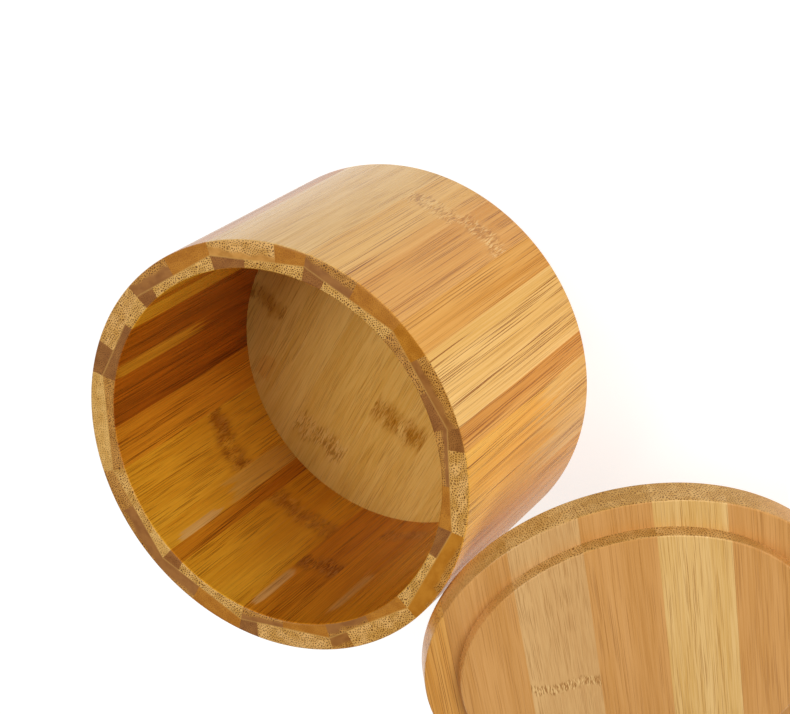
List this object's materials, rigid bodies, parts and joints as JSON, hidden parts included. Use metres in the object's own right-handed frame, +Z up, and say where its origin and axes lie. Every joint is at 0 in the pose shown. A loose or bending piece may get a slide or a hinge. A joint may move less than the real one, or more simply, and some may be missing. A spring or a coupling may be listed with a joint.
{
  "type": "salt box",
  "caption": "Small round canister turned from mitred two-ply bamboo staves, with an inset base disc and a lift-off disc lid with a locating plug, shown open with the lid leaning on the wall.",
  "frame": {"origin": "middle of the underside of the box, on its axis", "axes": "+Z up along the axis of the box, towards the mouth; +X towards the side on which the open lid leans"},
  "size_m": [0.1611, 0.0888, 0.0597],
  "materials": {
    "bamboo_light": "oiled satin bamboo",
    "bamboo_orange": "oiled satin bamboo",
    "bamboo_brown": "oiled satin bamboo",
    "bamboo_dark": "oiled satin bamboo",
    "bamboo_pale": "oiled satin bamboo"
  },
  "bodies": {
    "box": {"base_slat_1": "bamboo_pale", "base_slat_2": "bamboo_pale", "base_slat_3": "bamboo_pale", "base_slat_4": "bamboo_pale", "base_slat_5": "bamboo_pale", "base_slat_6": "bamboo_pale", "stave_01_inner_1": "bamboo_orange", "stave_01_inner_2": "bamboo_brown", "stave_01_outer_1": "bamboo_light", "stave_01_outer_2": "bamboo_dark", "stave_02_inner_1": "bamboo_dark", "stave_02_inner_2": "bamboo_light", "stave_02_outer_1": "bamboo_light", "stave_02_outer_2": "bamboo_orange", "stave_03_inner_1": "bamboo_light", "stave_03_inner_2": "bamboo_dark", "stave_03_outer_1": "bamboo_orange", "stave_03_outer_2": "bamboo_brown", "stave_04_inner_1": "bamboo_light", "stave_04_inner_2": "bamboo_dark", "stave_04_outer_1": "bamboo_pale", "stave_04_outer_2": "bamboo_light", "stave_05_inner_1": "bamboo_light", "stave_05_inner_2": "bamboo_dark", "stave_05_outer_1": "bamboo_orange", "stave_05_outer_2": "bamboo_dark", "stave_06_inner_1": "bamboo_light", "stave_06_inner_2": "bamboo_brown", "stave_06_outer_1": "bamboo_light", "stave_06_outer_2": "bamboo_dark", "stave_07_inner_1": "bamboo_brown", "stave_07_inner_2": "bamboo_brown", "stave_07_outer_1": "bamboo_light", "stave_08_inner_1": "bamboo_light", "stave_08_inner_2": "bamboo_light", "stave_08_outer_1": "bamboo_brown", "stave_08_outer_2": "bamboo_dark", "stave_09_inner_1": "bamboo_dark", "stave_09_inner_2": "bamboo_light", "stave_09_outer_1": "bamboo_dark", "stave_09_outer_2": "bamboo_orange", "stave_10_inner_1": "bamboo_brown", "stave_10_inner_2": "bamboo_orange", "stave_10_outer_1": "bamboo_dark", "stave_10_outer_2": "bamboo_light", "stave_11_inner_1": "bamboo_dark", "stave_11_inner_2": "bamboo_orange", "stave_11_outer_1": "bamboo_dark", "stave_11_outer_2": "bamboo_light", "stave_12_inner_1": "bamboo_light", "stave_12_inner_2": "bamboo_dark", "stave_12_outer_1": "bamboo_orange", "stave_12_outer_2": "bamboo_brown"},
    "lid": {"lid_slat_1": "bamboo_orange", "lid_slat_2": "bamboo_orange", "lid_slat_3": "bamboo_orange", "lid_slat_4": "bamboo_orange", "lid_slat_5": "bamboo_light", "lid_slat_6": "bamboo_light", "lid_slat_7": "bamboo_light"}
  },
  "joints": [
    {"name": "lid_close", "type": "hinge", "parent": "box", "child": "lid", "pos_m": [0.04585, 0, 0.05962], "axis": [0, -1, 0], "range_deg": [0, 219.05]}
  ]
}
